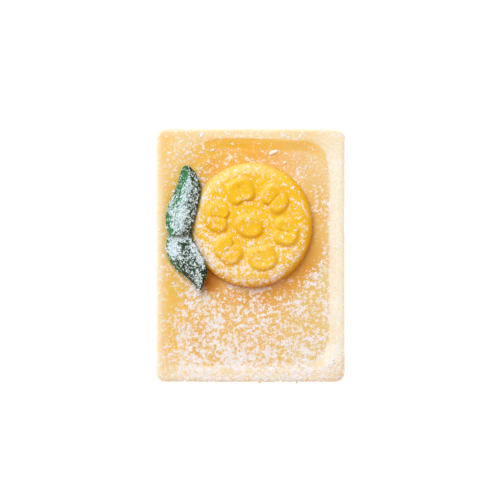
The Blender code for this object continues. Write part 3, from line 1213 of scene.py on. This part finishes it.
        # The side share is painted shade, and the film share holds sugar and painted highlights.
        powder, film, side = self.powder(points), self.film(points), self.painted_side_shade(points)
        swell = 1.0 + 0.006 * cloud(points, 4.0, 10.0)
        points[:, :2] = plan * np.minimum(swell, 1.0)[:, None] + self.centre
        obj = mesh_object("yellow_disc", points, faces)
        write_shares(obj, powder=powder, film=film, side=side)
        return finish_piece(obj, Slot.YELLOW, material, "disc")


# ---- the leaves


@dataclass(frozen=True)
class Drift:
    """A soft drift of sugar on a leaf, its place and size as shares of the leaf's.

    Across runs from -1 at the left edge to 1 at the right, along from 0 at the lower end to 1.
    """

    across: float
    along: float
    half_across: float
    half_along: float
    amount: float

    def at(self, across: Array, along: Array) -> Array:
        """How much sugar the drift puts at each point."""
        x, y = (across - self.across) / self.half_across, (along - self.along) / self.half_along
        return self.amount * np.exp(-(np.hypot(x, y) ** 4))


@dataclass
class Leaf:
    """A thick paste leaf that leans on the disc, refined from its CAD node."""

    node: str
    name: str
    seed: float
    drifts: tuple[Drift, ...]
    lit_green_to: float
    joint_end: float
    bare: float = 0.24
    joint_reach: float = 0.22
    swell: Pair = (0.04, 0.02)
    crease: float = math.radians(50)
    levels: int = 2
    tightening: float = 0.8
    tightening_rounds: int = 3
    bands: int = 24

    def refined(self) -> Object:
        """A smoother copy of the node's mesh that keeps the node's size.

        Returns:
            The copy, as a plain mesh object.
        """
        edit = bmesh.new()
        edit.from_mesh(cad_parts[self.node].data)
        bmesh.ops.remove_doubles(edit, verts=edit.verts, dist=0.001 * MM)
        limits = {"angle_face_threshold": self.crease, "angle_shape_threshold": self.crease}
        bmesh.ops.join_triangles(edit, faces=edit.faces, **limits)
        obj = edited_object(self.name, edit)
        modifier = obj.modifiers.new("round", "SUBSURF")
        modifier.levels = modifier.render_levels = self.levels
        wanted = points_of(obj)
        for _ in range(self.tightening_rounds):
            smoothed = evaluated(obj)
            reached = np.array([smoothed.vertices[i].co for i in range(len(wanted))]) / MM
            bpy.data.meshes.remove(smoothed)
            move_points(obj, points_of(obj) + self.tightening * (wanted - reached))
        plain = evaluated(obj)
        obj.modifiers.clear()
        obj.data = plain
        plain.shade_smooth()
        return obj

    def places(self, points: Array) -> tuple[Array, Array]:
        """Where points lie on the leaf.

        Args:
            points: Rows of x, y, z.

        Returns:
            Places across the leaf, from -1 to 1, and along it, from 0 to 1.
        """
        x, y, _ = points.T
        steps = np.linspace(y.min(), y.max(), self.bands + 1)
        middles = (steps[:-1] + steps[1:]) / 2
        bands = [x[(y >= low) & (y <= high)] for low, high in zip(steps[:-1], steps[1:])]
        left, right = (np.interp(y, middles, [end(band) for band in bands]) for end in (np.min, np.max))
        return 2 * (x - left) / (right - left) - 1, (y - y.min()) / (y.max() - y.min())

    def build(self, material: Material) -> Object:
        """Makes the dressed leaf, its end drawn out towards the other leaf.

        Args:
            material: The leaf's material.

        Returns:
            The leaf's object.
        """
        obj = self.refined()
        flat, normals = points_of(obj), vertex_rows(obj, "normal")
        across, along = self.places(flat)
        near_joint = smooth(0.25, 0.0, np.abs(along - self.joint_end))
        flat[:, 1] += self.joint_reach * (2.0 * self.joint_end - 1.0) * near_joint
        amount = np.full(len(flat), self.bare)
        for drift in self.drifts:
            amount = np.maximum(amount, drift.at(across, along))
        amount *= (1.0 + 0.3 * cloud(flat, 1.5, self.seed + 2)) * smooth(-0.1, 0.3, normals[:, 2])
        swell = self.swell[0] * cloud(flat, 1.6, self.seed) + self.swell[1] * cloud(flat, 0.6, self.seed + 1)
        move_points(obj, flat + normals * (swell - SKIN_DROP)[:, None])
        # Painted shade: the darker green covers the leaf to the right of a given place across it, leaving the
        # lit green to the left.
        fresh = 0.9 * smooth(self.lit_green_to + 0.2, self.lit_green_to - 0.2, across)
        write_shares(obj, powder=amount, film=0.12 * smooth(0.3, 0.8, amount), fresh=fresh)
        return finish_piece(obj, Slot.GREEN, material, self.node)


UPPER_DRIFTS = (
    Drift(-0.05, 0.62, 0.42, 0.28, 0.62),
    Drift(-0.75, 0.45, 0.3, 0.25, 0.46),
    Drift(-0.05, 0.22, 0.75, 0.26, 0.68),
    Drift(0.6, 0.4, 0.4, 0.6, 0.42),
    Drift(0.2, 0.9, 0.5, 0.08, 0.36),
)
LOWER_DRIFTS = (
    Drift(0.0, 0.92, 1.0, 0.16, 0.75),
    Drift(-0.5, 0.68, 0.5, 0.22, 0.7),
    Drift(0.75, 0.6, 0.3, 0.3, 0.68),
    Drift(0.1, 0.45, 0.8, 0.35, 0.34),
    Drift(0.1, 0.17, 0.6, 0.2, 0.52),
)


# ---- the sugar


@dataclass(frozen=True)
class GrainRecipe:
    """How one kind of grain is scattered."""

    kind: GrainKind
    per_square_mm: float
    radius: float
    inside_patch: float
    stray: float
    most_in_clump: int = 1
    clump_reach: float = 0.08
    sides: int = 4
    rings: int = 2


class SugarTree(TreeBuilder):
    """Geometry tree that scatters sugar grains over a surface by its powder attribute."""

    INPUTS = {
        "Float": ("Density", "Radius", "Patch Size", "Inside Patch", "Stray", "Clump Reach", "Clearance"),
        "Int": ("Most In Clump", "Sides", "Rings", "Seed"),
        "Object": ("Cover",),
        "Material": ("Finish",),
    }
    DENT_SIZE = 0.11

    def __init__(self) -> None:
        """Builds the tree with its named inputs."""
        super().__init__(bpy.data.node_groups.new("sugar_scatter", "GeometryNodeTree"))
        face = self.tree.interface
        face.new_socket("Geometry", in_out="INPUT", socket_type="NodeSocketGeometry")
        self.sockets = {}
        for kind, names in self.INPUTS.items():
            for name in names:
                socket = face.new_socket(name, in_out="INPUT", socket_type=f"NodeSocket{kind}")
                self.sockets[name] = socket.identifier
        face.new_socket("Geometry", in_out="OUTPUT", socket_type="NodeSocketGeometry")
        self.given = self.add("NodeGroupInput").outputs
        grains = self.instances(self.clumped(self.uncovered(self.settled())))
        dressed = self.add("GeometryNodeSetMaterial", {"Geometry": grains, "Material": self.given["Finish"]})
        self.add("NodeGroupOutput", {"Geometry": dressed.outputs[0]})

    def chance(self, seed: int, low: object = 0.0, high: object = 1.0) -> Socket:
        """A random number or vector for each point.

        Args:
            seed: Added to the tree's seed.
            low: The least number, or a tuple of three.
            high: The greatest number, or a tuple of three.

        Returns:
            The result's socket.
        """
        vector = isinstance(low, tuple)
        first = 0 if vector else 2
        inputs = {first: low, first + 1: high, 8: self.math("ADD", self.given["Seed"], float(seed))}
        node = self.add("FunctionNodeRandomValue", inputs, data_type="FLOAT_VECTOR" if vector else "FLOAT")
        return node.outputs[0 if vector else 1]

    def scaled(self, vector: Socket, factor: object) -> Socket:
        """A vector times a number."""
        return self.add("ShaderNodeVectorMath", {0: vector, 3: factor}, operation="SCALE").outputs[0]

    def moved(self, geometry: Socket, offset: Socket) -> Socket:
        """Geometry with its points moved."""
        return self.add("GeometryNodeSetPosition", {"Geometry": geometry, "Offset": offset}).outputs[0]

    def without(self, points: Socket, chosen: Socket) -> Socket:
        """The points that are left when the chosen ones are removed."""
        inputs = {"Geometry": points, "Selection": chosen}
        return self.add("GeometryNodeDeleteGeometry", inputs, domain="POINT").outputs[0]

    def settled(self) -> Socket:
        """Points in patches on what faces up, and a few strays between the patches.

        Returns:
            The points' socket.
        """
        powder = self.add("GeometryNodeInputNamedAttribute", {"Name": "powder"}, data_type="FLOAT").outputs[0]
        wanted = self.math("MULTIPLY", self.given["Density"], self.ramp(powder, 0.0, 0.15))
        inputs = {"Mesh": self.given["Geometry"], "Density": wanted, "Seed": self.given["Seed"]}
        spread = self.add("GeometryNodeDistributePointsOnFaces", inputs, distribute_method="RANDOM")
        up = self.add("ShaderNodeSeparateXYZ", {0: spread.outputs["Normal"]}).outputs[2]
        steep = self.math("GREATER_THAN", self.chance(1), self.ramp(up, -0.25, 0.8))
        points = self.without(spread.outputs["Points"], steep)
        place = self.add("GeometryNodeInputPosition").outputs[0]
        patch = self.above_bare(place, powder, self.given["Patch Size"])
        inside = self.math("SUBTRACT", patch, self.given["Inside Patch"])
        ragged = self.math("LESS_THAN", inside, self.chance(9, -PATCH_EDGE, PATCH_EDGE))
        draw, stray = self.chance(8), self.math("MULTIPLY", self.given["Stray"], powder)
        homeless = self.math("GREATER_THAN", draw, stray)
        return self.without(points, self.math("MULTIPLY", ragged, homeless))

    def uncovered(self, points: Socket) -> Socket:
        """The points that nothing covers from above or crowds from the side.

        Args:
            points: The points' socket.

        Returns:
            The socket of those that are left.
        """
        cover = self.add("GeometryNodeObjectInfo", {"Object": self.given["Cover"]}).outputs["Geometry"]
        inputs = {"Target Geometry": cover, "Ray Direction": (0.0, 0.0, 1.0), "Ray Length": 1.0}
        points = self.without(points, self.add("GeometryNodeRaycast", inputs).outputs["Is Hit"])
        near = self.add("GeometryNodeProximity", {"Geometry": cover}, target_element="FACES")
        limit = self.math("MULTIPLY", self.given["Clearance"], self.chance(2, 0.3, 1.3))
        return self.without(points, self.math("LESS_THAN", near.outputs["Distance"], limit))

    def clumped(self, points: Socket) -> Socket:
        """Points doubled into small heaps of different sizes.

        Args:
            points: The points' socket.

        Returns:
            The heaps' socket.
        """
        skewed = self.math("POWER", self.chance(3), 2.0)
        extra = self.math("FLOOR", self.math("MULTIPLY", skewed, self.given["Most In Clump"]))
        inputs = {"Geometry": points, "Amount": self.math("ADD", extra, 1.0)}
        heap = self.add("GeometryNodeDuplicateElements", inputs, domain="POINT").outputs[0]
        reach = self.math("MULTIPLY", self.given["Clump Reach"], self.math("SQRT", extra))
        return self.moved(heap, self.scaled(self.chance(4, (-1, -1, 0), (1, 1, 0.6)), reach))

    def instances(self, points: Socket) -> Socket:
        """Uneven grains at the points, as real mesh.

        Args:
            points: The points' socket.

        Returns:
            The grains' socket.
        """
        skewed = self.math("MULTIPLY", self.math("POWER", self.chance(5), 2.5), 1.2)
        radius = self.math("MULTIPLY", self.given["Radius"], self.math("ADD", skewed, 0.7))
        shape = self.scaled(self.chance(6, (0.75, 0.75, 0.35), (1.3, 1.3, 0.65)), radius)
        form = {"Segments": self.given["Sides"], "Rings": self.given["Rings"], "Radius": 1.0}
        lump = self.add("GeometryNodeMeshUVSphere", form).outputs["Mesh"]
        turn = self.chance(7, (-0.3, -0.3, 0.0), (0.3, 0.3, math.tau))
        inputs = {"Points": points, "Instance": lump, "Rotation": turn, "Scale": shape}
        grains = self.add("GeometryNodeInstanceOnPoints", inputs).outputs[0]
        solid = self.add("GeometryNodeRealizeInstances", {"Geometry": grains}).outputs[0]
        place = self.add("GeometryNodeInputPosition").outputs[0]
        inputs = {"Vector": place, "Scale": 1.0 / (self.DENT_SIZE * MM), "Detail": 1.0}
        dent = self.add("ShaderNodeTexNoise", inputs)
        inputs = {0: dent.outputs["Color"], 1: (0.5, 0.5, 0.5)}
        centred = self.add("ShaderNodeVectorMath", inputs, operation="SUBTRACT").outputs[0]
        return self.moved(solid, self.scaled(centred, self.math("MULTIPLY", self.given["Radius"], 1.2)))


@dataclass
class SugarDusting:
    """The icing sugar over one piece, one mesh for each kind of grain."""

    tree: SugarTree
    material: Material
    target: Object
    recipes: tuple[GrainRecipe, ...]
    seed: int
    clearance: float
    patch_size: float = PATCH_SIZE
    seed_step: int = 31

    def build(self, *covers: Object) -> None:
        """Scatters the grains.

        Args:
            covers: Pieces that keep sugar off what lies under them.
        """
        edit = bmesh.new()
        for piece in covers:
            edit.from_mesh(piece.data)
        cover = edited_object("cover", edit)
        for recipe in self.recipes:
            self.scatter(recipe, cover)
        bpy.data.objects.remove(cover)

    def scatter(self, recipe: GrainRecipe, cover: Object) -> None:
        """Makes one kind of grain as a plain mesh.

        Args:
            recipe: The kind of grain.
            cover: What keeps sugar off the surface under it.
        """
        holder = placed(f"sugar_{recipe.kind.value}_on_{self.target.name}", self.target.data)
        modifier = holder.modifiers.new("sugar", "NODES")
        modifier.node_group = self.tree.tree
        values = {
            "Density": recipe.per_square_mm / (MM * MM),
            "Radius": recipe.radius * MM,
            "Patch Size": self.patch_size,
            "Inside Patch": recipe.inside_patch,
            "Stray": recipe.stray,
            "Most In Clump": recipe.most_in_clump,
            "Clump Reach": recipe.clump_reach * MM,
            "Sides": recipe.sides,
            "Rings": recipe.rings,
            "Seed": self.seed + self.seed_step * list(GrainKind).index(recipe.kind),
            "Clearance": self.clearance * MM,
            "Cover": cover,
            "Finish": self.material,
        }
        for name, value in values.items():
            modifier[self.tree.sockets[name]] = value
        plain = evaluated(holder)
        holder.modifiers.clear()
        holder.data = plain
        finish_piece(holder, Slot.SUGAR, self.material)


@dataclass(frozen=True)
class Crystal:
    """A crystal of sugar large enough to be placed by itself, from the tile's middle."""

    place: Pair
    depth: float
    length: float
    width: float
    bearing: float

    def matrix(self, rim: float) -> Matrix:
        """What makes a unit ball this crystal.

        Args:
            rim: The height of the tile's rim.

        Returns:
            The ball's size, turn and place.
        """
        turn = Matrix.Rotation(math.radians(self.bearing), 4, "Z")
        form = turn @ Matrix.Diagonal((self.length / 2, self.width / 2, self.width / 3, 1.0))
        return Matrix.Translation((*self.place, rim - self.depth)) @ form


@dataclass
class CrystalSugar:
    """The large crystals on the tile, in one piece."""

    crystals: tuple[Crystal, ...]
    roundness: int = 3
    dent: float = 0.12
    dent_size: float = 0.25
    seeds: Row = (41.0, 42.0, 43.0)

    def build(self, material: Material) -> Object:
        """Lays the crystals on the tile.

        Args:
            material: The sugar's material.

        Returns:
            One object that holds them all.
        """
        rim = float(node_box("shell")[1][2])
        edit = bmesh.new()
        for crystal in self.crystals:
            matrix = crystal.matrix(rim)
            bmesh.ops.create_icosphere(edit, subdivisions=self.roundness, radius=1.0, matrix=matrix)
        points = np.array([vertex.co for vertex in edit.verts])
        faces = [[vertex.index for vertex in face.verts] for face in edit.faces]
        edit.free()
        dents = np.column_stack([cloud(points, self.dent_size, seed) for seed in self.seeds])
        obj = mesh_object("sugar_crystals_on_tile", points + self.dent * dents, faces)
        return finish_piece(obj, Slot.SUGAR, material)


TILE_SUGAR = (
    GrainRecipe(GrainKind.DUST, 60.0, 0.055, 0.0, 0.3),
    GrainRecipe(GrainKind.CLUMP, 7.0, 0.1, 0.03, 0.02, 4, 0.12, 6, 4),
)
DISC_SUGAR = (
    GrainRecipe(GrainKind.DUST, 60.0, 0.05, 0.0, 0.12),
    GrainRecipe(GrainKind.CLUMP, 5.0, 0.09, 0.03, 0.02, 4, 0.1, 6, 4),
)
UPPER_LEAF_SUGAR = (
    GrainRecipe(GrainKind.DUST, 110.0, 0.05, 0.0, 0.12),
    GrainRecipe(GrainKind.CLUMP, 9.0, 0.08, 0.03, 0.05, 4, 0.09, 6, 4),
)
LOWER_LEAF_SUGAR = (
    GrainRecipe(GrainKind.DUST, 130.0, 0.055, 0.0, 0.12),
    GrainRecipe(GrainKind.CLUMP, 18.0, 0.085, 0.02, 0.05, 4, 0.1, 6, 4),
)
THIN_SUGAR = IcingSugar("thin_sugar_on_green", bright=(0.87, 0.95, 1.0, 1.0), soft=(0.7, 0.83, 0.88, 1.0))
CRYSTALS = (
    Crystal((3.15, 14.1), 0.62, 1.3, 0.5, 22.0),
    Crystal((4.7, 12.7), 0.66, 0.5, 0.3, 20.0),
    Crystal((6.85, 16.35), 0.0, 0.7, 0.34, 50.0),
    Crystal((-6.65, 16.5), 0.0, 0.8, 0.5, 85.0),
)


# ---- the studio


@dataclass
class Studio:
    """Floor, lights and camera."""

    key_power: float = 2.15
    key_colour: tuple[float, float, float] = (0.73, 0.87, 1.0)
    key_distance: float = 0.5
    key_size: float = 0.32
    key_elevation: float = math.radians(60.0)
    sky: float = 0.5
    sky_colour: Colour = (1.0, 0.7, 0.43, 1.0)
    floor_half: float = 10.0
    floor_drop: float = 0.02
    view_span: float = 68.45
    view_distance: float = 1500.0
    aim: Pair = (-0.04, 0.72)
    sensor: float = 36.0

    def build(self, floor_material: Material) -> None:
        """Makes the studio.

        Args:
            floor_material: The floor's material.
        """
        self.floor(floor_material)
        self.light()
        self.camera()

    def floor(self, material: Material) -> None:
        """Lays a wide pale floor under the part.

        Args:
            material: The floor's material.
        """
        half = self.floor_half
        mesh = bpy.data.meshes.new("studio_floor")
        corners = [(-half, -half, 0), (half, -half, 0), (half, half, 0), (-half, half, 0)]
        mesh.from_pydata(corners, [], [(0, 1, 2, 3)])
        mesh.materials.append(material)
        floor = placed("studio_floor", mesh)
        floor.location.z = -self.floor_drop * MM

    def light(self) -> None:
        """Hangs one soft key light and sets an even warm sky."""
        side = Vector((*LIGHT_FROM, 0.0)).normalized()
        towards = side * math.cos(self.key_elevation) + Vector((0, 0, math.sin(self.key_elevation)))
        data = bpy.data.lights.new("key", "AREA")
        data.shape = "DISK"
        data.size = self.key_size
        data.energy = self.key_power
        data.color = self.key_colour
        key = placed("key", data)
        key.location = towards * self.key_distance
        key.rotation_euler = towards.to_track_quat("Z", "Y").to_euler()
        world = bpy.data.worlds.new("studio")
        world.use_nodes = True
        background = world.node_tree.nodes["Background"].inputs
        background["Color"].default_value = self.sky_colour
        background["Strength"].default_value = self.sky
        bpy.context.scene.world = world
        bpy.context.scene.view_settings.view_transform = "Standard"

    def camera(self) -> None:
        """Sets up a camera that looks straight down."""
        rim = float(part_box("shell")[1][2])
        data = bpy.data.cameras.new("camera")
        data.sensor_width = self.sensor
        data.lens = self.sensor * self.view_distance / self.view_span
        camera = placed("camera", data)
        camera.location = (self.aim[0] * MM, self.aim[1] * MM, rim + self.view_distance * MM)
        bpy.context.scene.camera = camera


def main() -> None:
    """Builds the dressed part and its studio."""
    logging.basicConfig(level=logging.INFO, format="%(message)s")
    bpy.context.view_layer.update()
    ivory, yellow = IvoryChocolate().material(), YellowChocolate().material()
    green, white = LeafPaste().material(), IcingSugar().material()
    thin_white = THIN_SUGAR.material()
    tile = Tile().build(ivory)
    disc = Disc().build(yellow)
    upper_leaf = Leaf("leaf_upper", "upper_leaf", 21.0, UPPER_DRIFTS, lit_green_to=0.05, joint_end=0.0)
    lower_leaf = Leaf("leaf_lower", "lower_leaf", 31.0, LOWER_DRIFTS, lit_green_to=-0.7, joint_end=1.0, bare=0.19)
    upper, lower = upper_leaf.build(green), lower_leaf.build(green)
    tree = SugarTree()
    SugarDusting(tree, white, tile, TILE_SUGAR, 101, 0.3).build(disc, upper, lower)
    SugarDusting(tree, white, disc, DISC_SUGAR, 202, 0.12).build(upper, lower)
    SugarDusting(tree, thin_white, upper, UPPER_LEAF_SUGAR, 303, 0.1, LEAF_PATCH_SIZE).build(disc)
    SugarDusting(tree, thin_white, lower, LOWER_LEAF_SUGAR, 404, 0.1, LEAF_PATCH_SIZE).build(disc, upper)
    CrystalSugar(CRYSTALS).build(white)
    Studio().build(StudioWhite().material())


if __name__ == "__main__":
    main()
